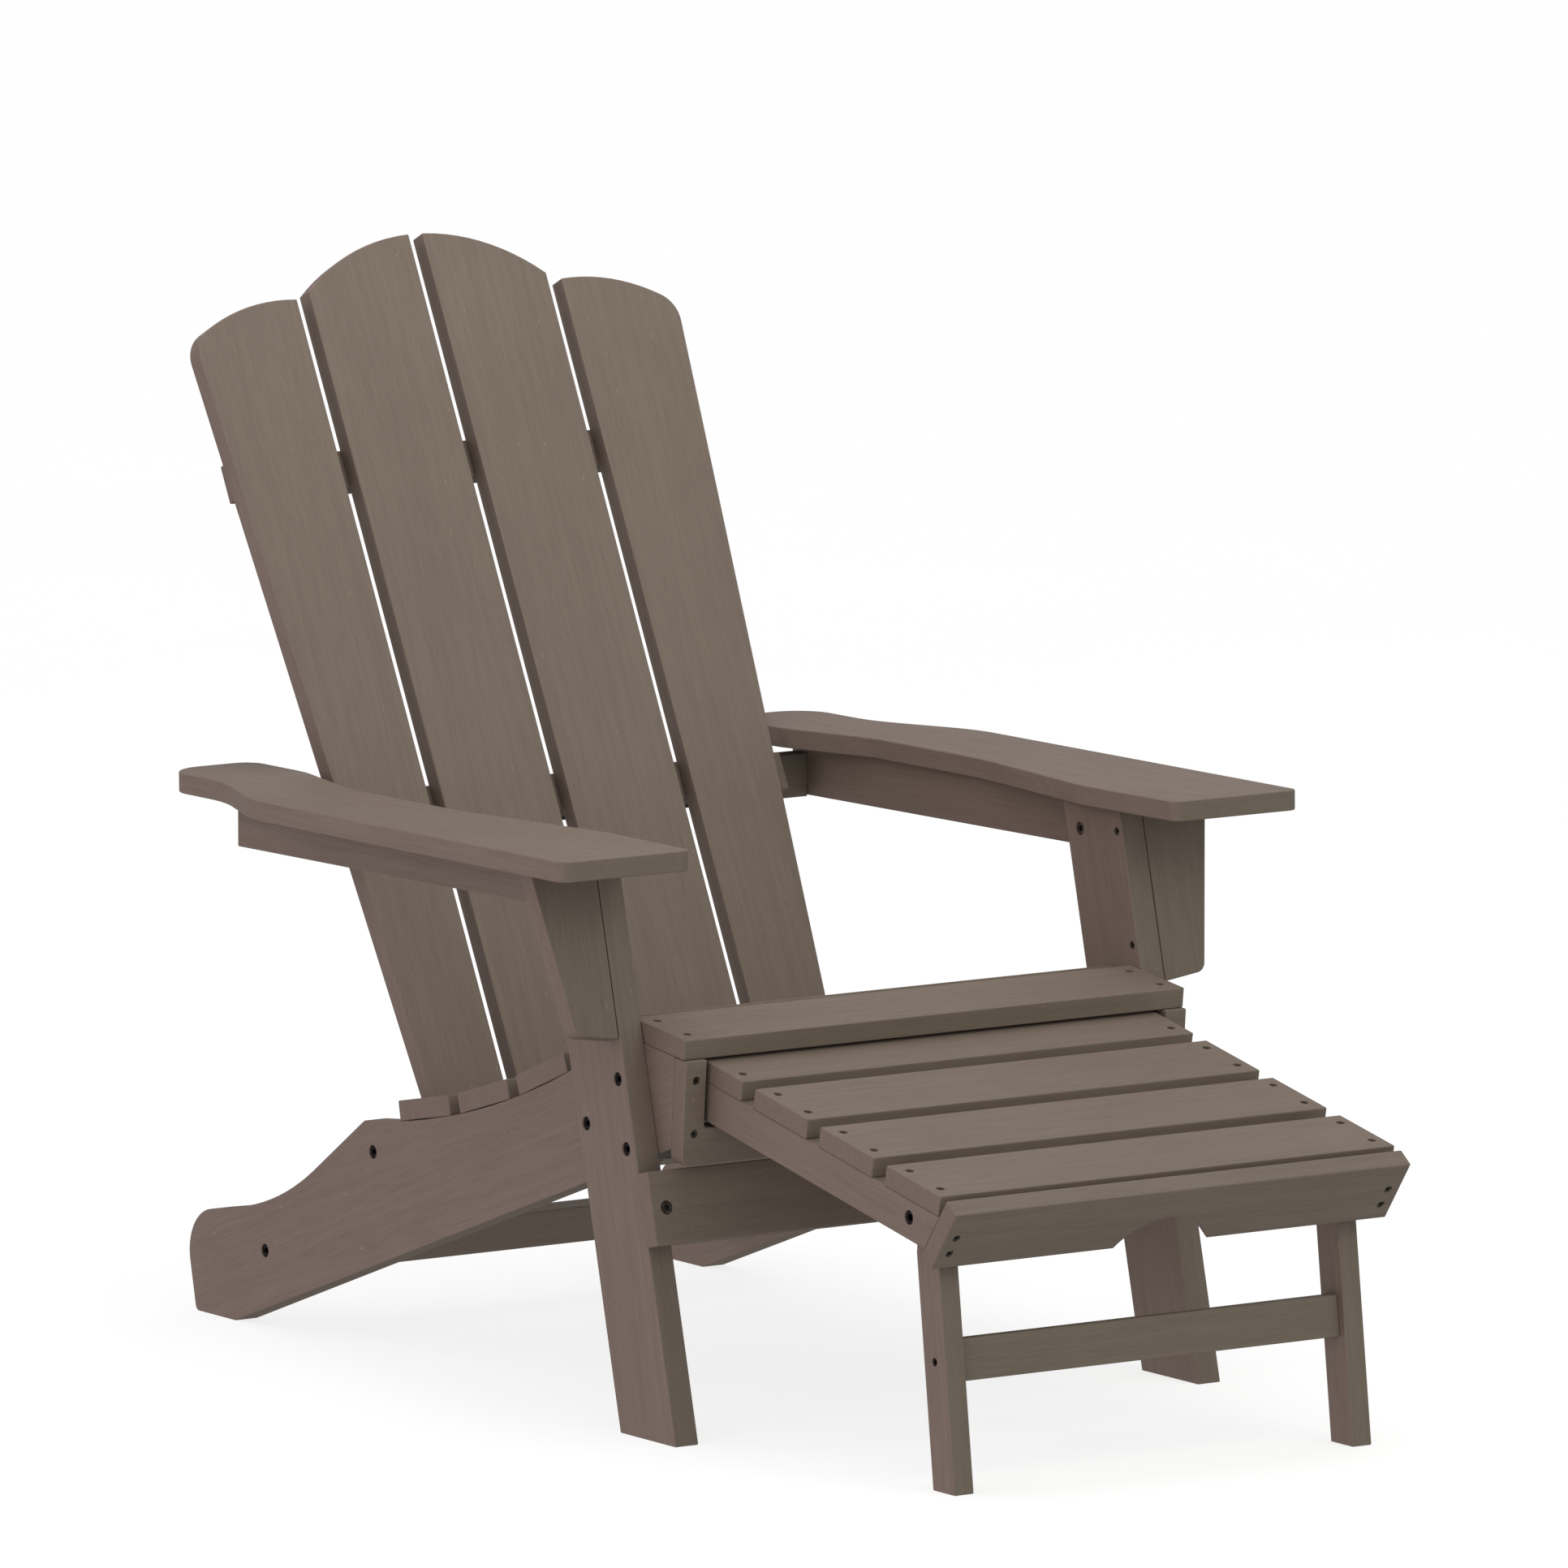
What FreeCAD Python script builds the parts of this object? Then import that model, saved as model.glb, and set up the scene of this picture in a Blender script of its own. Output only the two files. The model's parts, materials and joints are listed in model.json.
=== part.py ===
"""Adirondack chair with a pull-out footrest, as its separate boards and fasteners.

Layout frame while modelling: X across the chair (the symmetry plane is X = 0), Y rearwards
from the front-bottom corner of the front legs, Z up from the floor, all in millimetres.
At the end everything is moved along Y so that the origin is the middle of the footprint.
"""
import FreeCAD, Part
import math
import os
from FreeCAD import Placement, Rotation, Vector

# Boards
BOARD = 24.0                 # thickness of the legs and stringers
THIN = 18.0                  # thickness of the slats, arms, rails and stretchers
SLAT_WIDTH = 82.0            # seat and footrest slats
EDGE = 1.2                   # rounding on every sawn edge
FIT = 0.5                    # gap at the end of a board that fits between two others
JOINT_GAP = 0.4              # open line between boards that are screwed face to face

# Across the chair
INNER_FACE = 238.0           # inner face of a stringer
LEG_FACE = INNER_FACE + BOARD
SIDE_FACE = LEG_FACE + BOARD

# Front legs and what hangs on their faces
LEG_DEPTH = 86.0
LEG_LEAN = 0.25              # rearward travel for each unit of height
STRETCHER_LOW = 167.5
STRETCHER_HEIGHT = 64.5
STRETCHER_HALF = SIDE_FACE + 3.0
REAR_STRETCHER_Y = 692.0
REAR_STRETCHER_Z = 66.0
REAR_STRETCHER_HEIGHT = 34.3
REAR_STRETCHER_LEAN = -0.218

# Arms
ARM_TOP = 512.3              # top face at the front edge
ARM_FRONT = 24.0
ARM_FALL = 0.012             # drop of the arm for each unit rearwards
ARM_RAIL_LOW = 452.1         # lower edge of the arm rail, carried forward to Y = 0
ARM_RAIL_FALL = 0.0187
ARM_RAIL_REAR = 670.0
CROSS_RAIL_FRONT = 645.0     # the vertical cross rail behind the back
CROSS_RAIL_LOW = 438.8
CROSS_RAIL_HEIGHT = 39.7

# Seat: four slats in a hollow of constant radius, and a front slat over the apron
HOLLOW_RADIUS = 1035.0
HOLLOW_Y = 631.1
HOLLOW_Z = 1239.7
SEAT_ANGLES = (11.08, 16.54, 22.0, 27.2)
SEAT_AIR = 0.05              # keeps the flat slats off the round hollow
NOSE_Y = 21.9
NOSE_Z = 348.3
NOSE_RISE = 6.73             # degrees
APRON_FOOT = 44.35           # front face of the apron carried down to the floor
APRON_LEAN = -0.0754
APRON_LOW = 237.8
APRON_SILL = 270.2           # lower edge of the window in the apron
APRON_HIGH = 330.0
WINDOW_HALF = 240.0

# Back
BACK_FOOT = 375.8            # front face of the back carried down to the floor
BACK_LEAN = 0.5              # rearward travel for each unit of height
BACK_LOW = 179.0             # lower end of the slats, measured along the slope
BACK_GAP = 14.4
CENTRE_SLAT_EDGE = 122.3     # outer edge of the centre slats at the foot of the slope
CENTRE_SLAT_FLARE = 0.0041
BACK_EDGE = 200.4            # outer edge of the back at the foot of the slope
BACK_FLARE = 0.058
CREST_RADIUS = 195.0
CREST_TOP = 1058.5
SHOULDER_RADIUS = 175.0
SHOULDER_X = 155.0
SHOULDER_TOP = 1006.0
SHOULDER_CORNER = 28.0
BATTEN_HEIGHT = 35.5
LOWER_BATTEN_LOW = 207.0
BACK_RAIL_LOW = 202.0
BACK_RAIL_HEIGHT = 50.0

# Footrest frame, pulled out: its slope and the upper front corner of its first slat
REST_Y = -327.6
REST_Z = 259.4
REST_RISE = 10.94            # degrees
REST_PITCH = 101.6
REST_HALF = 236.0
REST_RAIL_DEPTH = 34.0
REST_RAIL_LENGTH = 409.0
REST_LEG_OUTER = 217.0
REST_LEG_BOARD = 20.0
REST_LEG_DEPTH = 32.7
REST_LEG_FRONT = -322.2
REST_LEG_LEAN = 0.125
LEG_STRETCHER_HEIGHT = 36.4
PIVOT_ALONG = 41.2
PIVOT_BELOW = 32.9
RUNNER_START = 50.0
RUNNER_HIGH = 268.0
RUNNER_FALL = 15.5           # degrees
RUNNER_LENGTH = 390.0

# Fasteners: head diameter, head height, depth of the head below the face, socket, shank
SCREW = (6.8, 3.0, 1.2, 3.0, 4.0)
DEEP_SCREW = (6.8, 3.0, 22.0, 3.0, 4.0)
SLAT_SCREW_LENGTH = 32.0
BOLT = (11.6, 5.0, 1.5, 5.0, 6.0)
FLUSH_BOLT = (11.4, 4.0, 0.6, 5.0, 6.0)
PIVOT_BOLT = (12.0, 5.0, 1.5, 6.0, 8.0)
HEAD_ROOM = 0.4
SHANK_ROOM = 0.05

SIDES = (("left", -1), ("right", 1))
parts = {}


# ---------------------------------------------------------------- shape helpers
def slope(degrees):
    """Unit vectors up a slope that rises rearwards, and square to it on the upper side."""
    angle = math.radians(degrees)
    along = Vector(0, math.cos(angle), math.sin(angle))
    square = Vector(0, -math.sin(angle), math.cos(angle))
    return along, square


def lean_frame(lean):
    """Unit vectors up a leaning board and square to it on the rear side."""
    up = Vector(0, lean, 1).normalize()
    rear = Vector(0, 1, -lean).normalize()
    return up, rear


def rounded_face(corners, place):
    """Face inside (u, v, radius) corners, each rounded by a tangent arc."""
    flat = [Vector(u, v, 0) for u, v, _ in corners]
    runs = []
    for i, (_, _, radius) in enumerate(corners):
        here = flat[i]
        back = (flat[i - 1] - here).normalize()
        ahead = (flat[(i + 1) % len(flat)] - here).normalize()
        half = back.getAngle(ahead) / 2
        reach = radius / math.tan(half)
        inward = (back + ahead).normalize() * (radius / math.sin(half) - radius)
        runs.append((here + back * reach, here + inward, here + ahead * reach, radius))
    edges = []
    for i, (enter, middle, leave, radius) in enumerate(runs):
        if radius > 0:
            edges.append(Part.Arc(place(enter), place(middle), place(leave)).toShape())
        edges.append(Part.makeLine(place(leave), place(runs[(i + 1) % len(runs)][0])))
    return Part.Face(Part.Wire(edges))


def soften(solid, radius=EDGE):
    """Round every edge of a board."""
    return solid.makeFillet(radius, solid.Edges)


def side_board(corners, x_low, thickness):
    """Board lying in a plane of constant X, from its (y, z, radius) corners."""
    face = rounded_face(corners, lambda p: Vector(x_low, p.x, p.y))
    return soften(face.extrude(Vector(thickness, 0, 0)))


def plank(corner, along, square, width, thickness, half_length):
    """Straight board across the chair; corner is where its section starts, at X = 0."""
    start = corner - Vector(half_length, 0, 0)
    ring = [start, start + along * width, start + along * width + square * thickness,
            start + square * thickness, start]
    face = Part.Face(Part.makePolygon(ring))
    return soften(face.extrude(Vector(2 * half_length, 0, 0)))


def mirrored(solid):
    return solid.mirror(Vector(0, 0, 0), Vector(1, 0, 0))


def below_arms(solid):
    """Trim a solid at the underside of the arms."""
    room = Part.makeBox(1000, 1200, 200, Vector(-500, -200, 0))
    room.Placement = arm_placement(ARM_TOP - THIN)
    return solid.cut(room)


def arm_placement(height):
    """Level of the arms at the given height above the floor at their front edge."""
    tilt = Rotation(Vector(1, 0, 0), -math.degrees(math.atan(ARM_FALL)))
    return Placement(Vector(0, ARM_FRONT, height), tilt)


# ---------------------------------------------------------------- fasteners
def hexagon(middle, reach, u, v):
    """Six-sided face in the plane of u and v, with its corners at the given reach."""
    corners = []
    for k in range(6):
        angle = math.radians(60 * k)
        corners.append(middle + u * (reach * math.cos(angle)) + v * (reach * math.sin(angle)))
    return Part.Face(Part.makePolygon(corners + corners[:1]))


def fastener(kind, length):
    """Socket-head fastener pointing down from the origin, and the hole that it needs."""
    head, height, sunk, socket, shank = kind
    seat = sunk + height
    body = Part.makeCylinder(head / 2, height, Vector(0, 0, -seat))
    body = body.fuse(Part.makeCylinder(shank / 2, length - seat + 1, Vector(0, 0, -length)))
    mouth = hexagon(Vector(0, 0, 1 - sunk), socket / math.sqrt(3), Vector(1, 0, 0), Vector(0, 1, 0))
    body = body.cut(mouth.extrude(Vector(0, 0, -0.7 * height - 1)))
    hole = Part.makeCylinder(head / 2 + HEAD_ROOM, seat + 10, Vector(0, 0, -seat))
    hole = hole.fuse(Part.makeCylinder(shank / 2 + SHANK_ROOM, length, Vector(0, 0, -length)))
    return body, hole


def fasten(group, kind, length, places, through):
    """Put identical fasteners at (point, direction) places and drill the named nodes."""
    solids = []
    for point, direction in places:
        turn = Placement(point, Rotation(Vector(0, 0, -1), direction))
        body, hole = fastener(kind, length)
        body.Placement = turn
        hole.Placement = turn
        solids.append(body)
        for name in through:
            if parts[name].BoundBox.intersect(hole.BoundBox):
                parts[name] = parts[name].cut(hole)
    parts[group] = Part.makeCompound(parts[group].Solids + solids if group in parts else solids)


def both_sides(x, y, z, direction):
    """The same place on the left and on the right, with the direction mirrored too."""
    return [(Vector(side * x, y, z), Vector(side * direction.x, direction.y, direction.z))
            for _, side in SIDES]


# ---------------------------------------------------------------- chair sides
def seat_hollow():
    return Part.makeCylinder(HOLLOW_RADIUS, 1000, Vector(-500, HOLLOW_Y, HOLLOW_Z), Vector(1, 0, 0))


def make_stringer():
    """Rear leg and seat side in one board, from the heel on the floor to the apron."""
    apron_rear = APRON_FOOT + THIN * math.sqrt(1 + APRON_LEAN ** 2)
    along, _ = slope(NOSE_RISE)
    under_nose = NOSE_Z - THIN / along.y
    front_y = apron_rear + APRON_LEAN * under_nose
    corners = [
        (744.5, 0, 4), (809.6, 0, 6), (829, 87, 42), (670, 116, 330), (531, 209.5, 20),
        (140, under_nose + (140 - NOSE_Y) * along.z / along.y, 0),
        (front_y, under_nose + (front_y - NOSE_Y) * along.z / along.y, 0),
        (apron_rear + APRON_LEAN * 251, 251, 0),
    ]
    face = rounded_face(corners, lambda p: Vector(INNER_FACE, p.x, p.y))
    board = face.extrude(Vector(BOARD, 0, 0)).cut(seat_hollow())
    return soften(board.removeSplitter())


def make_front_leg():
    top = 540.0
    corners = [(0, 0, 0), (LEG_DEPTH, 0, 0), (LEG_DEPTH + LEG_LEAN * top, top, 0),
               (LEG_LEAN * top, top, 0)]
    return below_arms(side_board(corners, LEG_FACE, BOARD))


def make_arm():
    """Arm in plan: a broad front, a waist beside the seat and a rounded tail."""
    corners = [
        (252, 0, 10), (249.5, 140, 160), (277, 330, 400), (277.5, 506, 150), (250, 616, 120),
        (250, 707, 20), (343.5, 707, 38), (343.5, 604, 150), (385.4, 495, 150), (385.4, 0, 10),
    ]
    face = rounded_face(corners, lambda p: Vector(p.x, p.y, 0))
    arm = soften(face.extrude(Vector(0, 0, THIN)))
    arm.Placement = arm_placement(ARM_TOP - THIN)
    return arm


def make_arm_rail():
    bracket_rear = THIN * math.sqrt(1 + LEG_LEAN ** 2)
    front_low = ARM_RAIL_LOW - ARM_RAIL_FALL * 130
    corners = [
        (LEG_LEAN * front_low + bracket_rear, front_low, 0),
        (ARM_RAIL_REAR, ARM_RAIL_LOW - ARM_RAIL_FALL * ARM_RAIL_REAR, 0),
        (ARM_RAIL_REAR, 520, 0),
        (LEG_LEAN * 520 + bracket_rear, 520, 0),
    ]
    return below_arms(side_board(corners, SIDE_FACE, THIN))


def make_arm_bracket():
    """Tapered board in the plane of the leg's front face, under the outer part of the arm."""
    up, rear = lean_frame(LEG_LEAN)
    stretch = math.sqrt(1 + LEG_LEAN ** 2)
    inner = SIDE_FACE + 2 * JOINT_GAP
    corners = [(inner, 343.4 * stretch, 0), (329.5, 349 * stretch, 10),
               (356, 500 * stretch, 0), (inner, 500 * stretch, 0)]
    face = rounded_face(corners, lambda p: Vector(p.x, 0, 0) + up * p.y)
    return below_arms(soften(face.extrude(rear * THIN)))


def make_sides():
    pairs = {
        "stringer": make_stringer(),
        "front_leg": make_front_leg(),
        "arm": make_arm(),
        "arm_rail": make_arm_rail(),
        "arm_bracket": make_arm_bracket(),
    }
    for name, solid in pairs.items():
        parts["right_" + name] = solid
        parts["left_" + name] = mirrored(solid)


# ---------------------------------------------------------------- seat and cross boards
def seat_slat_frame(degrees):
    """Upper rear-to-front line of a seat slat: its front corner, direction and upward side."""
    angle = math.radians(degrees)
    outward = Vector(0, -math.sin(angle), -math.cos(angle))
    rearward = Vector(0, math.cos(angle), -math.sin(angle))
    sag = HOLLOW_RADIUS - math.sqrt(HOLLOW_RADIUS ** 2 - (SLAT_WIDTH / 2) ** 2)
    middle = Vector(0, HOLLOW_Y, HOLLOW_Z) + outward * (HOLLOW_RADIUS - sag - SEAT_AIR)
    return middle - rearward * (SLAT_WIDTH / 2), rearward, outward * -1


def make_seat():
    for number, degrees in enumerate(SEAT_ANGLES, start=1):
        corner, along, up = seat_slat_frame(degrees)
        parts[f"seat_slat_{number}"] = plank(corner, along, up, SLAT_WIDTH, THIN, LEG_FACE - FIT)
    along, square = slope(NOSE_RISE)
    corner = Vector(0, NOSE_Y, NOSE_Z) - square * THIN
    parts["seat_front_slat"] = plank(corner, along, square, SLAT_WIDTH, THIN, LEG_FACE - FIT)


def make_apron():
    """U-shaped board that closes the front of the seat around the footrest."""
    up, rear = lean_frame(APRON_LEAN)
    stretch = math.sqrt(1 + APRON_LEAN ** 2)
    low, sill, high = APRON_LOW * stretch, APRON_SILL * stretch, APRON_HIGH * stretch
    outer = LEG_FACE
    corners = [
        (-outer, low, 8), (outer, low, 8), (outer, high, 0), (WINDOW_HALF, high, 0),
        (WINDOW_HALF, sill, 3), (-WINDOW_HALF, sill, 3), (-WINDOW_HALF, high, 0),
        (-outer, high, 0),
    ]
    foot = Vector(0, APRON_FOOT, 0)
    face = rounded_face(corners, lambda p: foot + Vector(p.x, 0, 0) + up * p.y)
    parts["front_apron"] = soften(face.extrude(rear * THIN))


def make_stretchers():
    up, rear = lean_frame(LEG_LEAN)
    low = up * (STRETCHER_LOW * math.sqrt(1 + LEG_LEAN ** 2))
    parts["front_stretcher"] = plank(low - rear * (THIN + JOINT_GAP), up, rear, STRETCHER_HEIGHT,
                                     THIN, STRETCHER_HALF)
    up, rear = lean_frame(REAR_STRETCHER_LEAN)
    middle = Vector(0, REAR_STRETCHER_Y, REAR_STRETCHER_Z)
    corner = middle - up * (REAR_STRETCHER_HEIGHT / 2) - rear * (THIN / 2)
    parts["rear_stretcher"] = plank(corner, up, rear, REAR_STRETCHER_HEIGHT, THIN, INNER_FACE)
    corner = Vector(0, CROSS_RAIL_FRONT, CROSS_RAIL_LOW)
    parts["arm_cross_rail"] = plank(corner, Vector(0, 0, 1), Vector(0, 1, 0),
                                    CROSS_RAIL_HEIGHT, THIN, SIDE_FACE)


# ---------------------------------------------------------------- back
def back_point(x, along, depth=0.0):
    """Point on the back: across, up the slope, and behind the front face."""
    up, rear = lean_frame(BACK_LEAN)
    return Vector(x, BACK_FOOT, 0) + up * along + rear * depth


def back_slat(low_in, low_out, high_in, high_out, centre_x, radius, top):
    """Slat between two edges given at the foot and per unit of slope, under a round top."""
    def height(x):
        return top - radius + math.sqrt(radius ** 2 - (x - centre_x) ** 2)
    inner_x = low_in + high_in * height(low_in)
    outer_x = low_out + high_out * (top - 0.3 * radius)
    outer_x = low_out + high_out * height(outer_x)
    middle_x = (inner_x + outer_x) / 2
    ring = [back_point(inner_x, height(inner_x)), back_point(low_in + high_in * BACK_LOW, BACK_LOW),
            back_point(low_out + high_out * BACK_LOW, BACK_LOW), back_point(outer_x, height(outer_x))]
    edges = [Part.makeLine(ring[k], ring[k + 1]) for k in range(3)]
    edges.append(Part.Arc(ring[3], back_point(middle_x, height(middle_x)), ring[0]).toShape())
    _, rear = lean_frame(BACK_LEAN)
    return Part.Face(Part.Wire(edges)).extrude(rear * THIN), ring[3]


def round_shoulder(solid, corner):
    """Round the outer top corner of an outer slat."""
    _, rear = lean_frame(BACK_LEAN)
    chosen = [edge for edge in solid.Edges
              if edge.CenterOfMass.distanceToPoint(corner + rear * (THIN / 2)) < 1]
    return solid.makeFillet(SHOULDER_CORNER, chosen)


def make_back():
    inner, _ = back_slat(BACK_GAP / 2, CENTRE_SLAT_EDGE, 0.0, CENTRE_SLAT_FLARE,
                         0.0, CREST_RADIUS, CREST_TOP)
    outer, corner = back_slat(CENTRE_SLAT_EDGE + BACK_GAP, BACK_EDGE, CENTRE_SLAT_FLARE, BACK_FLARE,
                              SHOULDER_X, SHOULDER_RADIUS, SHOULDER_TOP)
    outer = soften(round_shoulder(outer, corner))
    inner = soften(inner)
    for number, solid in enumerate((mirrored(outer), mirrored(inner), inner, outer), start=1):
        parts[f"back_slat_{number}"] = solid
    up, rear = lean_frame(BACK_LEAN)
    for name, low, half in (("upper_back_batten", 831.0, 241.5), ("middle_back_batten", 513.7, 250.5),
                            ("lower_back_batten", LOWER_BATTEN_LOW, 205.0)):
        parts[name] = plank(back_point(0, low, THIN), up, rear, BATTEN_HEIGHT, THIN, half)
    parts["lower_back_cross_rail"] = plank(back_point(0, BACK_RAIL_LOW, 2 * THIN), up, rear,
                                           BACK_RAIL_HEIGHT, THIN, INNER_FACE)
    behind = Part.makeBox(1000, 100, 200, Vector(-500, CROSS_RAIL_FRONT, CROSS_RAIL_LOW - 50))
    parts["middle_back_batten"] = parts["middle_back_batten"].cut(behind)


# ---------------------------------------------------------------- footrest
def rest_point(along, above, x=0.0):
    """Point in the footrest's own slope, from the upper front corner of its first slat."""
    forward, square = slope(REST_RISE)
    return Vector(x, REST_Y, REST_Z) + forward * along + square * above


def front_board_frame():
    """Upper front corner of the footrest's front board, its downward run and its rear side."""
    down = Vector(0, 0.5896, -0.8077).normalize()
    rear = Vector(0, 0.8077, 0.5896).normalize()
    return Vector(0, -351.5, 246.3), down, rear


def make_front_board():
    """Sloping front board with a hand arch cut into its lower edge."""
    height, arch_radius, arch_top = 63.6, 53.2, 32.6
    corner, down, rear = front_board_frame()
    start = corner - Vector(REST_HALF, 0, 0)
    ring = [start, start + down * height, start + down * height + rear * THIN, start + rear * THIN,
            start]
    board = Part.Face(Part.makePolygon(ring)).extrude(Vector(2 * REST_HALF, 0, 0))
    centre = corner + down * (arch_top + arch_radius) - rear * THIN
    board = board.cut(Part.makeCylinder(arch_radius, 3 * THIN, centre, rear))
    parts["footrest_front_board"] = soften(board)


def make_rest_rail():
    corners = [(-30, -THIN, 0), (REST_RAIL_LENGTH, -THIN, 0),
               (REST_RAIL_LENGTH, -THIN - REST_RAIL_DEPTH, 0), (-30, -THIN - REST_RAIL_DEPTH, 0)]
    inner = REST_HALF - THIN
    face = rounded_face(corners, lambda p: rest_point(p.x, p.y, inner))
    rail = soften(face.extrude(Vector(THIN, 0, 0)))
    corner, down, rear = front_board_frame()
    ahead = Part.makeBox(1000, 100, 300, Vector(-500, -100, -150))
    ahead.Placement = Placement(corner + rear * THIN, Rotation(Vector(0, 1, 0), rear))
    return rail.cut(ahead)


def make_runner():
    """Strip under the pushed-in footrest, on the inner face of a stringer."""
    along, square = slope(-RUNNER_FALL)
    start = Vector(INNER_FACE - THIN, RUNNER_START, RUNNER_HIGH)
    ring = [start, start + along * RUNNER_LENGTH, start + along * RUNNER_LENGTH - square * THIN,
            start - square * THIN, start]
    return soften(Part.Face(Part.makePolygon(ring)).extrude(Vector(THIN, 0, 0)))


def make_rest_leg():
    """Leg that folds back under the footrest; its top is rounded about the pivot."""
    pivot = rest_point(PIVOT_ALONG, -PIVOT_BELOW)
    up, rear = lean_frame(REST_LEG_LEAN)
    front = (pivot.y - REST_LEG_FRONT - REST_LEG_LEAN * pivot.z) * rear.y
    back = REST_LEG_DEPTH * rear.y - front
    foot = pivot.z / up.z
    level = REST_LEG_LEAN
    corners = [
        (-front, -foot - level * front, 0), (back, -foot + level * back, 0), (back, -32, 0),
        (front, front, 9), (-front, front, 9),
    ]
    inner = REST_LEG_OUTER - REST_LEG_BOARD
    face = rounded_face(corners, lambda p: Vector(inner, pivot.y, pivot.z) + rear * p.x + up * p.y)
    return soften(face.extrude(Vector(REST_LEG_BOARD, 0, 0)))


def leg_stretcher_middle():
    return Vector(0, -291.9, 110.6)


def make_footrest():
    along, square = slope(REST_RISE)
    for number in range(4):
        corner = rest_point(number * REST_PITCH, -THIN)
        parts[f"footrest_slat_{number + 1}"] = plank(corner, along, square, SLAT_WIDTH, THIN,
                                                     REST_HALF)
    make_front_board()
    cross_low = rest_point(REST_RAIL_LENGTH - THIN, -60)
    parts["footrest_rear_cross"] = plank(cross_low, along, square, THIN, 42.0, REST_HALF - THIN)
    for name, solid in (("footrest_rail", make_rest_rail()), ("footrest_leg", make_rest_leg()),
                        ("footrest_runner", make_runner())):
        parts["right_" + name] = solid
        parts["left_" + name] = mirrored(solid)
    up, rear = lean_frame(REST_LEG_LEAN)
    corner = leg_stretcher_middle() - up * (LEG_STRETCHER_HEIGHT / 2) - rear * (THIN / 2)
    parts["footrest_leg_stretcher"] = plank(corner, up, rear, LEG_STRETCHER_HEIGHT, THIN,
                                            REST_LEG_OUTER - REST_LEG_BOARD)


# ---------------------------------------------------------------- fastening
def slat_places(corner, along, down, x):
    """Two fasteners at each end of a slat, evenly in from its long edges."""
    inset = 17.5
    places = []
    for distance in (inset, SLAT_WIDTH - inset):
        point = corner + along * distance
        places += both_sides(x, point.y, point.z, down)
    return places


def fasten_seat():
    stringers = ["left_stringer", "right_stringer"]
    for number, degrees in enumerate(SEAT_ANGLES, start=1):
        corner, along, up = seat_slat_frame(degrees)
        places = slat_places(corner + up * THIN, along, up * -1, 247.5)
        fasten("seat_slat_screws", SCREW, SLAT_SCREW_LENGTH, places,
               [f"seat_slat_{number}"] + stringers)
    along, square = slope(NOSE_RISE)
    places = slat_places(Vector(0, NOSE_Y, NOSE_Z), along, square * -1, 247.5)
    fasten("seat_slat_screws", SCREW, SLAT_SCREW_LENGTH, places, ["seat_front_slat"] + stringers)
    up, rear = lean_frame(APRON_LEAN)
    places = []
    for z in (265.8, 312.5):
        places += both_sides(250.5, APRON_FOOT + APRON_LEAN * z, z, rear)
    fasten("apron_screws", SCREW, 40, places, ["front_apron"] + stringers)


def fasten_sides():
    inward = Vector(-1, 0, 0)
    outward = Vector(1, 0, 0)
    places = []
    nuts = []
    for y, z in ((89.3, 308.0), (138.4, 262.8), (76.1, 249.0)):
        places += both_sides(SIDE_FACE, y, z, inward)
        nuts += both_sides(INNER_FACE, y, z, outward)
    legs = ["left_front_leg", "right_front_leg"]
    stringers = ["left_stringer", "right_stringer"]
    for point, direction in nuts:
        sleeve = Part.makeCylinder(4.5, 14, point, direction)
        bore = Part.makeCylinder(3 + SHANK_ROOM, 16, point - direction, direction)
        for name in stringers:
            parts[name] = parts[name].cut(sleeve)
        solids = parts["leg_insert_nuts"].Solids if "leg_insert_nuts" in parts else []
        parts["leg_insert_nuts"] = Part.makeCompound(solids + [sleeve.cut(bore)])
    fasten("leg_bolts", BOLT, 46, places, legs + stringers)
    rails = ["left_arm_rail", "right_arm_rail"]
    fasten("arm_rail_bolts", FLUSH_BOLT, 38, both_sides(LEG_FACE, 182.4, 468.7, outward), legs + rails)
    places = both_sides(LEG_FACE, 126.5, 473.1, outward) + both_sides(LEG_FACE, 102.5, 375.1, outward)
    fasten("arm_bracket_screws", SCREW, 55, places, legs + ["left_arm_bracket", "right_arm_bracket"])
    places = []
    for y in (190, 400, 610):
        places += both_sides(SIDE_FACE + THIN / 2, y, ARM_RAIL_LOW - ARM_RAIL_FALL * y, Vector(0, 0, 1))
    fasten("arm_screws", DEEP_SCREW, 54, places, rails + ["left_arm", "right_arm"])
    up, rear = lean_frame(LEG_LEAN)
    z = STRETCHER_LOW + (STRETCHER_HEIGHT / 2) * up.z
    point = Vector(0, LEG_LEAN * z, z) - rear * (THIN + JOINT_GAP)
    fasten("front_stretcher_bolts", FLUSH_BOLT, 66, both_sides(273.8, point.y, point.z, rear),
           legs + ["front_stretcher"])


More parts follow.
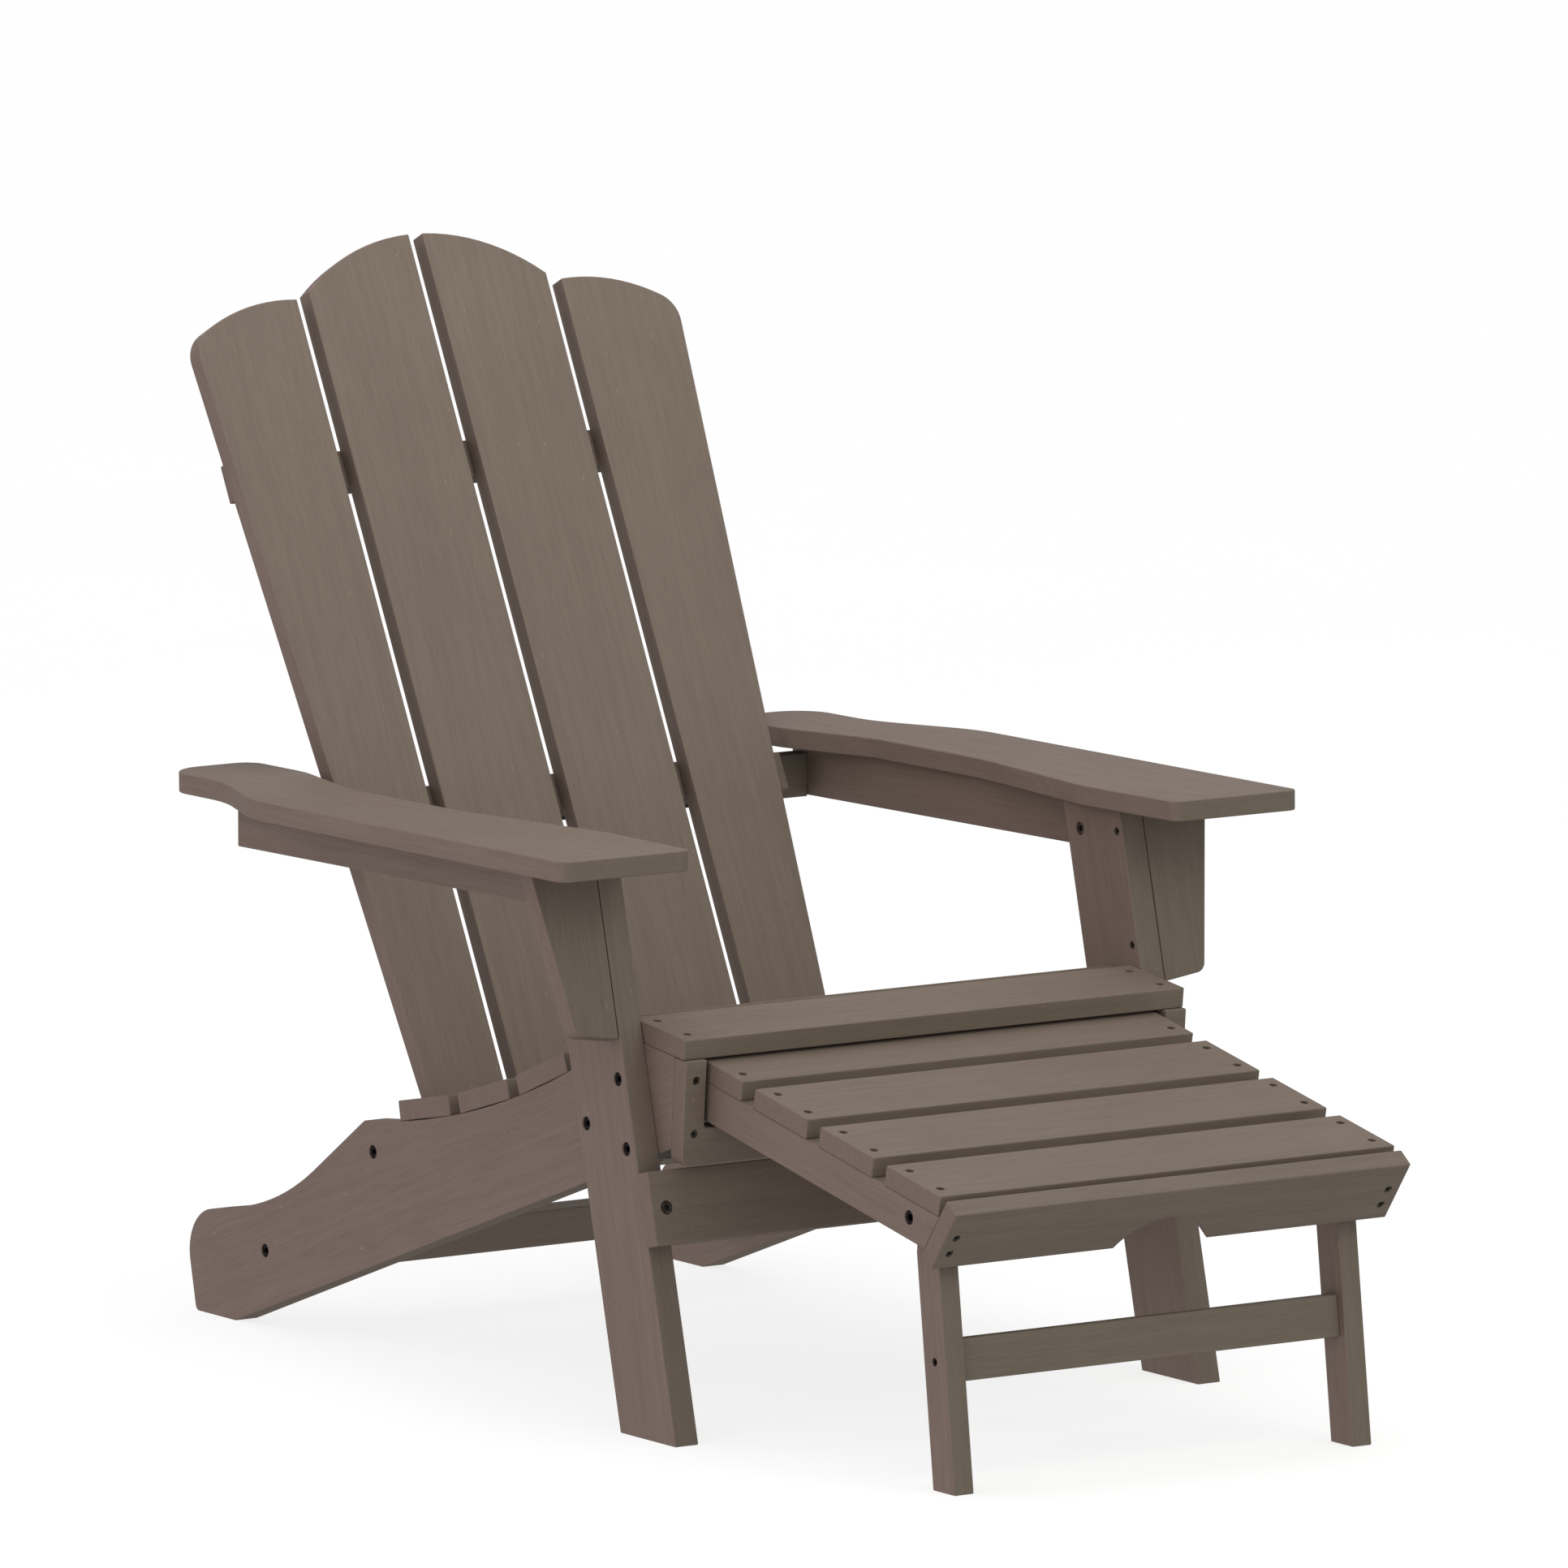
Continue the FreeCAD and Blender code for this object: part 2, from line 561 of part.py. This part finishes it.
def fasten_cross_rails():
    """Bolts through the stringers into barrel nuts near the ends of the cross boards."""
    inward = Vector(-1, 0, 0)
    _, stretcher_rear = lean_frame(REAR_STRETCHER_LEAN)
    _, back_rear = lean_frame(BACK_LEAN)
    stretcher_bolt = Vector(0, 694.0, 70.3)
    rail_bolt = back_point(0, BACK_RAIL_LOW + BACK_RAIL_HEIGHT / 2, 2.5 * THIN - 1.5)
    cases = (("rear_stretcher", stretcher_bolt, stretcher_rear, 2.9),
             ("lower_back_cross_rail", rail_bolt, back_rear, -1.5))
    nuts = []
    for board, middle, across, off_centre in cases:
        for _, side in SIDES:
            point = Vector(side * (LEG_FACE - 44), middle.y, middle.z)
            start = point - across * (7.5 + off_centre)
            nut = Part.makeCylinder(5, 15, start, across)
            parts[board] = parts[board].cut(Part.makeCylinder(5, 30, start, across))
            bore = Part.makeCylinder(3 + SHANK_ROOM, 20, point - Vector(10, 0, 0), Vector(1, 0, 0))
            nuts.append(nut.cut(bore))
        fasten("cross_rail_bolts", BOLT, 52, both_sides(LEG_FACE, middle.y, middle.z, inward),
               ["left_stringer", "right_stringer", board])
    parts["barrel_nuts"] = Part.makeCompound(nuts)


def dowel_arm_cross_rail():
    """Blind dowels that hold the arm cross rail between the arm rails."""
    radius, length, in_rail = 4.0, 36.0, 12.0
    y = CROSS_RAIL_FRONT + THIN / 2
    dowels = []
    for z in (CROSS_RAIL_LOW + 12, CROSS_RAIL_LOW + CROSS_RAIL_HEIGHT - 12):
        for point, direction in both_sides(SIDE_FACE + in_rail, y, z, Vector(-1, 0, 0)):
            dowels.append(Part.makeCylinder(radius, length, point, direction))
            hole = Part.makeCylinder(radius + SHANK_ROOM, length + 1, point - direction * 0.5, direction)
            for name in ("left_arm_rail", "right_arm_rail", "arm_cross_rail"):
                parts[name] = parts[name].cut(hole)
    parts["cross_rail_dowels"] = Part.makeCompound(dowels)


def fasten_back():
    """Screws from behind, through the battens into the slats and the cross rail into its batten."""
    _, rear = lean_frame(BACK_LEAN)
    slats = [f"back_slat_{k}" for k in (1, 2, 3, 4)]
    batten_middle = LOWER_BATTEN_LOW + BATTEN_HEIGHT / 2
    rows = (("upper_back_batten", 848.7, 2 * THIN, (32, 98, 158, 196), slats),
            ("middle_back_batten", 519.0, 2 * THIN, (32, 98, 158, 196), slats),
            ("lower_back_batten", batten_middle, 2 * THIN, (32, 98, 158, 194), slats),
            ("lower_back_cross_rail", batten_middle, 3 * THIN, (65, 128), ["lower_back_batten"]))
    for board, along, depth, across, behind in rows:
        places = []
        for x in across:
            point = back_point(0, along, depth)
            places += both_sides(x, point.y, point.z, rear * -1)
        fasten("back_screws", SCREW, 32, places, [board] + behind)


def fasten_footrest():
    along, square = slope(REST_RISE)
    rails = ["left_footrest_rail", "right_footrest_rail"]
    inward = Vector(-1, 0, 0)
    for number in range(4):
        places = slat_places(rest_point(number * REST_PITCH, 0), along, square * -1, 224.0)
        fasten("footrest_slat_screws", SCREW, SLAT_SCREW_LENGTH, places,
               [f"footrest_slat_{number + 1}"] + rails)
    corner, down, rear = front_board_frame()
    places = []
    for distance in (28.5, 46.6):
        point = corner + down * distance
        places += both_sides(224.0, point.y, point.z, rear)
    fasten("footrest_front_screws", SCREW, 28, places, ["footrest_front_board"] + rails)
    point = rest_point(REST_RAIL_LENGTH - THIN / 2, -35)
    fasten("footrest_cross_screws", SCREW, 40, both_sides(REST_HALF, point.y, point.z, inward),
           rails + ["footrest_rear_cross"])
    legs = ["left_footrest_leg", "right_footrest_leg"]
    point = leg_stretcher_middle()
    fasten("footrest_leg_screws", SCREW, 50, both_sides(REST_LEG_OUTER, point.y, point.z, inward),
           legs + ["footrest_leg_stretcher"])
    pivot = rest_point(PIVOT_ALONG, -PIVOT_BELOW)
    fasten("footrest_pivot_bolts", PIVOT_BOLT, 47, both_sides(REST_HALF, pivot.y, pivot.z, inward),
           rails + legs)
    nuts = []
    for point, direction in both_sides(REST_LEG_OUTER - REST_LEG_BOARD - 0.6, pivot.y, pivot.z, inward):
        nut = hexagon(point, 7.5, Vector(0, 1, 0), Vector(0, 0, 1)).extrude(direction * 6.5)
        nuts.append(nut.cut(Part.makeCylinder(4, 10, point - direction, direction)))
    parts["footrest_pivot_nuts"] = Part.makeCompound(nuts)
    along, _ = slope(-RUNNER_FALL)
    places = []
    for distance in (40, 195, 350):
        point = Vector(0, RUNNER_START, RUNNER_HIGH - THIN / 2) + along * distance
        places += both_sides(INNER_FACE - THIN, point.y, point.z, Vector(1, 0, 0))
    fasten("runner_screws", SCREW, 32, places,
           ["left_footrest_runner", "right_footrest_runner", "left_stringer", "right_stringer"])


# ---------------------------------------------------------------- build
def main():
    make_sides()
    make_seat()
    make_apron()
    make_stretchers()
    make_back()
    make_footrest()
    fasten_seat()
    fasten_sides()
    fasten_cross_rails()
    dowel_arm_cross_rail()
    fasten_back()
    fasten_footrest()
    whole = Part.makeCompound(list(parts.values())).optimalBoundingBox(False, False)
    middle = (whole.YMin + whole.YMax) / 2
    os.makedirs("parts", exist_ok=True)
    for name, shape in parts.items():
        shape = shape.copy()
        shape.translate(Vector(0, -middle, 0))
        shape.exportStep(f"parts/{name}.step")
    print(len(parts), "nodes; moved forward by", round(middle, 4))
    print("box", round(whole.XLength, 2), round(whole.YLength, 2), round(whole.ZLength, 2))


main()
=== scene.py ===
"""Looks of the adirondack chair: stained timber, black fasteners, a pale studio and the camera."""
import json
import math

import bpy
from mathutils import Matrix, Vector

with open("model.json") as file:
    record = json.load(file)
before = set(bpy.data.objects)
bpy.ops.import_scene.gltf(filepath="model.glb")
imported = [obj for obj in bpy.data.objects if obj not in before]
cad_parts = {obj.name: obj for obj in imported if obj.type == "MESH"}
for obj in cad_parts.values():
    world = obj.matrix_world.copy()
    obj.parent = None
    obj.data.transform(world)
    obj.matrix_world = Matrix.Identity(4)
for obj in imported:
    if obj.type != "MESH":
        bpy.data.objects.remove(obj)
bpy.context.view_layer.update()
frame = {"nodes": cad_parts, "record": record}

# Camera, in degrees and metres
CAMERA_AZIMUTH = -33.955
CAMERA_RISE = 8.329
CAMERA_DISTANCE = 16.463
CAMERA_AIM = Vector((-0.001, 0.0, 0.5205))
CAMERA_LENS = 433.15         # millimetres, on the sensor below
CAMERA_SENSOR = 36.0
CAMERA_REACH = 200.0

# Stained timber, linear colours
TIMBER = (0.186, 0.148, 0.115)
TIMBER_DARK = (0.128, 0.101, 0.077)
TIMBER_LIGHT = (0.300, 0.245, 0.197)

# Size of the timber's marks: cells per metre, along the grain and twice across it, or all ways alike
FINE_STRIPES = (24, 900, 900)
PORES = (45, 1500, 1500)
BROAD_STRIPES = (4, 130, 130)
SPECKS = (130, 420, 420)
CLOUDS = 11.0
SPECK_PATCHES = 38.0

# How much each mark changes the timber's colour
FINE_AMOUNT = 0.30
PORE_AMOUNT = 0.46
BROAD_AMOUNT = 0.11
CLOUD_AMOUNT = 0.13
SPECK_AMOUNT = 0.55
END_GRAIN_AMOUNT = 0.16
# Painted highlight along the rounded edges: how much it pales them, and the radius it covers
EDGE_HIGHLIGHT_AMOUNT = 0.20
EDGE_HIGHLIGHT_RADIUS = 0.0016         # metres

# Surface of the timber: roughness from pale to dark stripes, then strength and depth of the relief
TIMBER_ROUGHNESS = (0.54, 0.68)
TIMBER_SPECULAR = 0.30
TIMBER_RELIEF = (0.35, 0.0005)

# Fasteners: linear colours, roughness and relief
BLACK_SCREW = (0.075, 0.066, 0.057)
# Bolts: black steel, darkened to near black as painted shade of the holes they are sunk in
BLACK_BOLT_AND_HOLE_SHADE = (0.006, 0.005, 0.005)
ZINC = (0.50, 0.51, 0.50)
BLACK_ROUGHNESS = (0.32, 0.50)
ZINC_ROUGHNESS = (0.30, 0.50)
STEEL_METALLIC = 0.85
STEEL_GRIME = 420.0          # cells per metre
STEEL_RELIEF = (0.15, 0.0002)

# Nodes of black fasteners that are darker than the screws, with painted shade of the holes they sit in
# added to their black
DARK_FASTENERS = ("leg_bolts", "cross_rail_bolts", "footrest_pivot_bolts", "footrest_leg_screws")

# Floor: a pale square, wide enough to fill the picture, whose glow brings it near to white
FLOOR_HALF = 60.0
FLOOR = (0.30, 0.30, 0.30)
FLOOR_MOTTLE = (0.29, 0.29, 0.29)
FLOOR_MOTTLE_SIZE = 1.5      # cells per metre
FLOOR_ROUGHNESS = 0.9
FLOOR_GLOW = 0.80

# Light from all around, what is added from the left and from the front, and how narrowly
AROUND_LIGHT = (0.572, 0.570, 0.574)
LEFT_LIGHT = (0.73, 0.55, 0.62)
FRONT_LIGHT = (0.10, 0.15, 0.13)
SIDE_NARROWNESS = 2.0

# Where there is less of it: everywhere low down, and in a patch low behind on the right
LOW_LIGHT = 0.80             # share that is left
LOW_BAND = (-0.7, 0.15)      # height of the direction, from where it is dimmed in full to not at all
DIM_DIRECTION = (0.55, 0.73, -0.41)
DIM_SHARE = 0.80             # share that is taken away in the middle of the patch
DIM_NARROWNESS = 6.0

# Soft boxes: place, size, power and colour
TOP_BOX = ((0.0, 0.0, 2.3), 1.6, 18.8, (0.86, 0.79, 0.87))
FRONT_BOX = ((0.5, -2.0, 1.9), 1.0, 6.5, (0.86, 1.0, 0.66))
BOX_AIM = (0.0, 0.0, 0.4)

# Direction of the grain of each group of boards
CROSSWISE = Vector((1, 0, 0))
BACK_GRAIN = Vector((0, 0.5, 1)).normalized()
LEG_GRAIN = Vector((0, 0.25, 1)).normalized()
REST_LEG_GRAIN = Vector((0, 0.125, 1)).normalized()
STRINGER_GRAIN = Vector((0, 1, -0.3567)).normalized()
ARM_GRAIN = Vector((0, 1, -0.012)).normalized()
REST_RAIL_GRAIN = Vector((0, 1, 0.1933)).normalized()


# ---------------------------------------------------------------- node helpers
class Graph:
    """Short names for building the node tree of a material or of the world."""

    def __init__(self, owner, shader="Principled BSDF"):
        owner.use_nodes = True
        self.owner = owner
        self.tree = owner.node_tree
        self.surface = self.tree.nodes[shader]

    def node(self, kind, **settings):
        made = self.tree.nodes.new(kind)
        for key, value in settings.items():
            setattr(made, key, value)
        return made

    def link(self, source, target):
        self.tree.links.new(source, target)

    def feed(self, target, value):
        """Link a socket, or set a plain value."""
        if hasattr(value, "is_output"):
            self.link(value, target)
        else:
            target.default_value = value

    def math(self, operation, a, b=0.0):
        made = self.node("ShaderNodeMath", operation=operation)
        self.feed(made.inputs[0], a)
        self.feed(made.inputs[1], b)
        return made.outputs[0]

    def scaled(self, vector, scale):
        made = self.node("ShaderNodeMapping", vector_type="POINT")
        made.inputs["Scale"].default_value = scale
        self.link(vector, made.inputs["Vector"])
        return made.outputs["Vector"]

    def dot(self, vector, direction):
        made = self.node("ShaderNodeVectorMath", operation="DOT_PRODUCT")
        self.link(vector, made.inputs[0])
        self.feed(made.inputs[1], direction)
        return made.outputs["Value"]

    def bump(self, height, strength, distance):
        """Raise the surface by a height, as bumps of the given strength and depth in metres."""
        made = self.node("ShaderNodeBump")
        made.inputs["Strength"].default_value = strength
        made.inputs["Distance"].default_value = distance
        self.link(height, made.inputs["Height"])
        self.link(made.outputs["Normal"], self.surface.inputs["Normal"])

    def noise(self, vector, scale, detail=2.0, roughness=0.5, distortion=0.0):
        made = self.node("ShaderNodeTexNoise")
        made.inputs["Scale"].default_value = scale
        made.inputs["Detail"].default_value = detail
        made.inputs["Roughness"].default_value = roughness
        made.inputs["Distortion"].default_value = distortion
        self.link(vector, made.inputs["Vector"])
        return made.outputs["Fac"]

    def band(self, value, low, high, out_low=0.0, out_high=1.0):
        """Map value from low..high to out_low..out_high with soft ends."""
        made = self.node("ShaderNodeMapRange", interpolation_type="SMOOTHSTEP")
        self.link(value, made.inputs["Value"])
        made.inputs["From Min"].default_value = low
        made.inputs["From Max"].default_value = high
        made.inputs["To Min"].default_value = out_low
        made.inputs["To Max"].default_value = out_high
        return made.outputs["Result"]

    def mix(self, amount, base, over, blend="MIX"):
        made = self.node("ShaderNodeMix", data_type="RGBA", blend_type=blend)
        self.feed(made.inputs["Factor"], amount)
        self.feed(made.inputs["A"], base)
        self.feed(made.inputs["B"], over)
        return made.outputs["Result"]


def rgba(colour):
    """The colour as a node socket takes it, with full alpha."""
    return (*colour, 1.0)


# ---------------------------------------------------------------- materials
def timber(name, grain):
    """Matt stained timber whose fine straight grain runs along the given direction."""
    g = Graph(bpy.data.materials.new(name))
    place = g.node("ShaderNodeTexCoord")
    turn = g.node("ShaderNodeVectorRotate", rotation_type="EULER_XYZ")
    g.link(place.outputs["Object"], turn.inputs["Vector"])
    turn.inputs["Rotation"].default_value = grain.rotation_difference(CROSSWISE).to_euler()
    along = turn.outputs["Vector"]

    # Stripes and pores along the grain, and soft clouds
    fine = g.noise(g.scaled(along, FINE_STRIPES), 1.0, detail=3.0, roughness=0.6)
    pores = g.noise(g.scaled(along, PORES), 1.0, detail=1.0)
    broad = g.noise(g.scaled(along, BROAD_STRIPES), 1.0, detail=3.0, distortion=0.4)
    cloud = g.noise(along, CLOUDS, detail=2.0)
    colour = g.mix(g.band(fine, 0.34, 0.66, 0.0, FINE_AMOUNT), rgba(TIMBER), rgba(TIMBER_DARK))
    colour = g.mix(g.band(pores, 0.60, 0.74, 0.0, PORE_AMOUNT), colour, rgba(TIMBER_DARK))
    colour = g.mix(g.band(broad, 0.35, 0.70, 0.0, BROAD_AMOUNT), colour, rgba(TIMBER_LIGHT))
    colour = g.mix(g.band(cloud, 0.35, 0.70, 0.0, CLOUD_AMOUNT), colour, rgba(TIMBER_DARK))

    # A few pale specks, in patches
    speck = g.noise(g.scaled(along, SPECKS), 1.0, detail=1.0)
    speck_field = g.noise(along, SPECK_PATCHES, detail=0.0)
    marks = g.math("MULTIPLY", g.band(speck, 0.71, 0.78), g.band(speck_field, 0.55, 0.66))
    colour = g.mix(g.math("MULTIPLY", marks, SPECK_AMOUNT), colour, rgba(TIMBER_LIGHT))

    # Darker end grain
    endwise = g.math("ABSOLUTE", g.dot(place.outputs["Normal"], grain))
    end_grain = g.math("MULTIPLY", g.band(endwise, 0.80, 0.97), END_GRAIN_AMOUNT)
    colour = g.mix(end_grain, colour, rgba(TIMBER_DARK))

    # Painted highlight: paler edges where the surface turns within the highlight radius, stronger in
    # patches
    round_edge = g.node("ShaderNodeBevel", samples=4)
    round_edge.inputs["Radius"].default_value = EDGE_HIGHLIGHT_RADIUS
    geometry = g.node("ShaderNodeNewGeometry")
    facing = g.dot(round_edge.outputs["Normal"], geometry.outputs["Normal"])
    painted_edge_highlight = g.math("MULTIPLY", g.band(facing, 0.985, 0.90), g.band(cloud, 0.40, 0.62, 0.35, 1.0))
    colour = g.mix(g.math("MULTIPLY", painted_edge_highlight, EDGE_HIGHLIGHT_AMOUNT), colour, rgba(TIMBER_LIGHT))

    g.link(colour, g.surface.inputs["Base Color"])
    g.link(g.band(fine, 0.3, 0.7, *TIMBER_ROUGHNESS), g.surface.inputs["Roughness"])
    g.surface.inputs["Specular IOR Level"].default_value = TIMBER_SPECULAR
    relief = g.math("ADD", g.math("MULTIPLY", fine, 0.6), g.math("MULTIPLY", pores, -0.5))
    g.bump(relief, *TIMBER_RELIEF)
    return g.owner


def steel(name, colour, roughness):
    """Coated steel with slightly uneven gloss and brighter rubbed spots."""
    g = Graph(bpy.data.materials.new(name))
    place = g.node("ShaderNodeTexCoord")
    grime = g.noise(place.outputs["Object"], STEEL_GRIME, detail=3.0)
    rubbed = tuple(min(1.0, 3.0 * channel + 0.02) for channel in colour)
    tint = g.mix(g.band(grime, 0.52, 0.72, 0.0, 0.45), rgba(colour), rgba(rubbed))
    g.link(tint, g.surface.inputs["Base Color"])
    g.link(g.band(grime, 0.3, 0.7, *roughness), g.surface.inputs["Roughness"])
    g.surface.inputs["Metallic"].default_value = STEEL_METALLIC
    g.bump(grime, *STEEL_RELIEF)
    return g.owner


def grain_of(node):
    """Grain direction of a board, from its name."""
    endings = (
        ("stringer", STRINGER_GRAIN), ("footrest_leg", REST_LEG_GRAIN), ("front_leg", LEG_GRAIN),
        ("arm_bracket", LEG_GRAIN), ("footrest_rail", REST_RAIL_GRAIN), ("_arm", ARM_GRAIN),
        ("arm_rail", ARM_GRAIN), ("footrest_runner", STRINGER_GRAIN),
    )
    if node.startswith("back_slat_"):
        return BACK_GRAIN
    for ending, grain in endings:
        if node.endswith(ending):
            return grain
    return CROSSWISE


def dress_nodes():
    """Give every CAD node its finished material."""
    slots = {part["node"]: part["material_slot"] for part in frame["record"]["subparts"]}
    black_screws = steel("black_screws", BLACK_SCREW, BLACK_ROUGHNESS)
    black_bolts_and_hole_shade = steel("black_bolts_and_hole_shade", BLACK_BOLT_AND_HOLE_SHADE, BLACK_ROUGHNESS)
    zinc = steel("zinc_steel", ZINC, ZINC_ROUGHNESS)
    timbers = {}
    for node, piece in frame["nodes"].items():
        if slots[node] == "black_fasteners":
            # bolts in holes get the near-black colour that holds the painted shade of their holes
            material = black_bolts_and_hole_shade if node in DARK_FASTENERS else black_screws
        elif slots[node] == "zinc_nuts":
            material = zinc
        else:
            grain = grain_of(node)
            key = tuple(round(value, 4) for value in grain)
            if key not in timbers:
                timbers[key] = timber(f"timber_{len(timbers) + 1}", grain)
            material = timbers[key]
        if not piece.material_slots:
            piece.data.materials.append(material)
        for slot in piece.material_slots:
            slot.material = material


# ---------------------------------------------------------------- studio
def make_floor():
    """Glowing floor that lights nothing and shows in no gloss."""
    corners = [(x * FLOOR_HALF, y * FLOOR_HALF, 0) for x, y in ((-1, -1), (1, -1), (1, 1), (-1, 1))]
    mesh = bpy.data.meshes.new("studio_floor")
    mesh.from_pydata(corners, [], [(0, 1, 2, 3)])
    floor = bpy.data.objects.new("studio_floor", mesh)
    bpy.context.scene.collection.objects.link(floor)
    g = Graph(bpy.data.materials.new("pale_floor"))
    place = g.node("ShaderNodeTexCoord")
    mottle = g.noise(place.outputs["Object"], FLOOR_MOTTLE_SIZE, detail=2.0)
    g.link(g.mix(g.band(mottle, 0.3, 0.7, 0.0, 0.5), rgba(FLOOR), rgba(FLOOR_MOTTLE)),
           g.surface.inputs["Base Color"])
    g.surface.inputs["Roughness"].default_value = FLOOR_ROUGHNESS
    g.surface.inputs["Specular IOR Level"].default_value = 0.0
    g.surface.inputs["Emission Color"].default_value = (1.0, 1.0, 1.0, 1.0)
    g.surface.inputs["Emission Strength"].default_value = FLOOR_GLOW
    mesh.materials.append(g.owner)
    floor.visible_diffuse = False
    floor.visible_glossy = False


def soft_box(name, position, size, power, colour):
    """Square area light turned towards the chair, and out of the camera's sight."""
    light = bpy.data.lights.new(name, "AREA")
    light.shape = "SQUARE"
    light.size = size
    light.energy = power
    light.color = colour
    lamp = bpy.data.objects.new(name, light)
    lamp.visible_camera = False
    lamp.location = position
    lamp.rotation_euler = (Vector(BOX_AIM) - Vector(position)).to_track_quat("-Z", "Y").to_euler()
    bpy.context.scene.collection.objects.link(lamp)


def make_lights():
    """Soft light all around, stronger from the left and front, weaker low behind, and two soft boxes."""
    g = Graph(bpy.data.worlds.new("studio"), "Background")
    place = g.node("ShaderNodeTexCoord").outputs["Generated"]
    axes = g.node("ShaderNodeSeparateXYZ")
    g.link(place, axes.inputs["Vector"])
    leftward = g.math("MAXIMUM", g.math("MULTIPLY", axes.outputs["X"], -1.0), 0.0)
    forward = g.math("MAXIMUM", g.math("MULTIPLY", axes.outputs["Y"], -1.0), 0.0)
    left = g.math("POWER", leftward, SIDE_NARROWNESS)
    front = g.math("POWER", forward, SIDE_NARROWNESS)
    colour = g.mix(left, rgba(AROUND_LIGHT), rgba(LEFT_LIGHT), blend="ADD")
    colour = g.mix(front, colour, rgba(FRONT_LIGHT), blend="ADD")
    g.link(colour, g.surface.inputs["Color"])
    low = g.band(axes.outputs["Z"], *LOW_BAND, LOW_LIGHT, 1.0)
    towards = g.math("MAXIMUM", g.dot(place, DIM_DIRECTION), 0.0)
    patch = g.math("POWER", towards, DIM_NARROWNESS)
    dim = g.math("SUBTRACT", 1.0, g.math("MULTIPLY", patch, DIM_SHARE))
    g.link(g.math("MULTIPLY", low, dim), g.surface.inputs["Strength"])
    bpy.context.scene.world = g.owner
    soft_box("top_light", *TOP_BOX)
    soft_box("front_light", *FRONT_BOX)


def make_camera():
    """Camera at the photograph's viewing angle."""
    azimuth = math.radians(CAMERA_AZIMUTH)
    rise = math.radians(CAMERA_RISE)
    back = Vector((math.sin(azimuth) * math.cos(rise), -math.cos(azimuth) * math.cos(rise),
                   math.sin(rise)))
    camera = bpy.data.cameras.new("camera")
    camera.lens = CAMERA_LENS
    camera.sensor_width = CAMERA_SENSOR
    camera.clip_end = CAMERA_REACH
    holder = bpy.data.objects.new("camera", camera)
    holder.location = CAMERA_AIM + back * CAMERA_DISTANCE
    holder.rotation_euler = (-back).to_track_quat("-Z", "Y").to_euler()
    bpy.context.scene.collection.objects.link(holder)
    bpy.context.scene.camera = holder


bpy.context.scene.view_settings.view_transform = "Standard"
dress_nodes()
make_floor()
make_lights()
make_camera()
